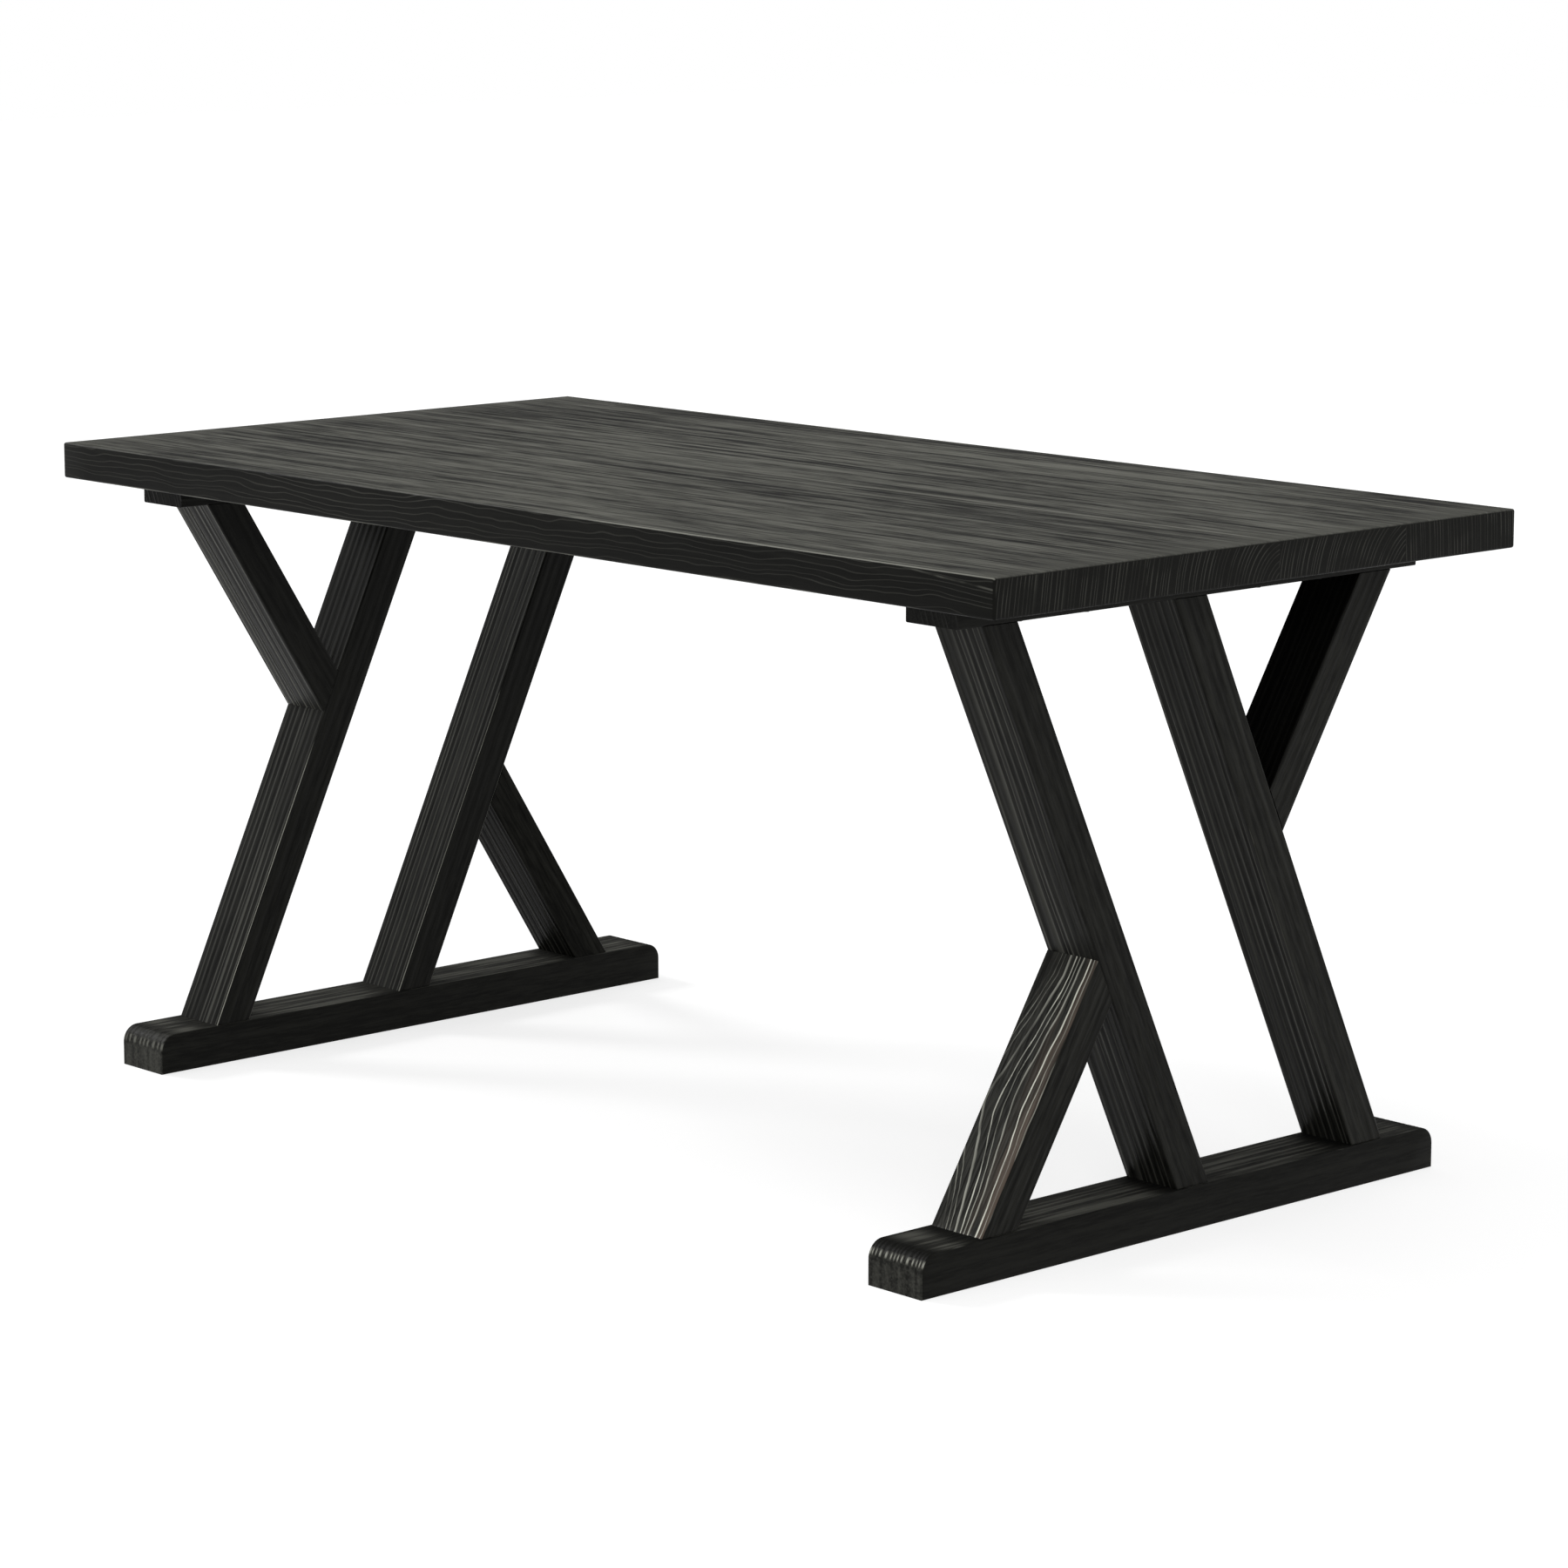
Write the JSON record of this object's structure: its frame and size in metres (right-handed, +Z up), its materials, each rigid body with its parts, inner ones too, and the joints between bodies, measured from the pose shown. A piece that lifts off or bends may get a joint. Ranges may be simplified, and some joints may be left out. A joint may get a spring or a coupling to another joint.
{
  "type": "dining table",
  "caption": "Farmhouse dining table in black-stained pine: a thick slab top on trestles with parallel slanted legs, opposed short braces and round-toed floor beams.",
  "frame": {"origin": "on the floor, under the middle of the top", "axes": "+X along the table to the picture's right end, +Y from the front edge to the back, +Z up"},
  "size_m": [1.6, 0.8, 0.757],
  "materials": {
    "top_pine": "black wood stain with visible grain, satin clear coat",
    "trestle_pine": "black wood stain with visible grain, satin clear coat",
    "tenon_beech": "raw planed beech",
    "black_steel": "black oxide steel",
    "insert_brass": "plain turned brass"
  },
  "bodies": {
    "root": {"top_board_1": "top_pine", "top_board_2": "top_pine", "top_board_3": "top_pine", "top_board_4": "top_pine", "left_foot": "trestle_pine", "left_cleat": "trestle_pine", "left_front_leg": "trestle_pine", "left_rear_leg": "trestle_pine", "left_upper_brace": "trestle_pine", "left_lower_brace": "trestle_pine", "right_foot": "trestle_pine", "right_cleat": "trestle_pine", "right_front_leg": "trestle_pine", "right_rear_leg": "trestle_pine", "right_upper_brace": "trestle_pine", "right_lower_brace": "trestle_pine", "top_splines": "tenon_beech", "brace_slip_tenons": "tenon_beech", "top_bolts": "black_steel", "top_washers": "black_steel", "top_inserts": "insert_brass"}
  },
  "joints": []
}
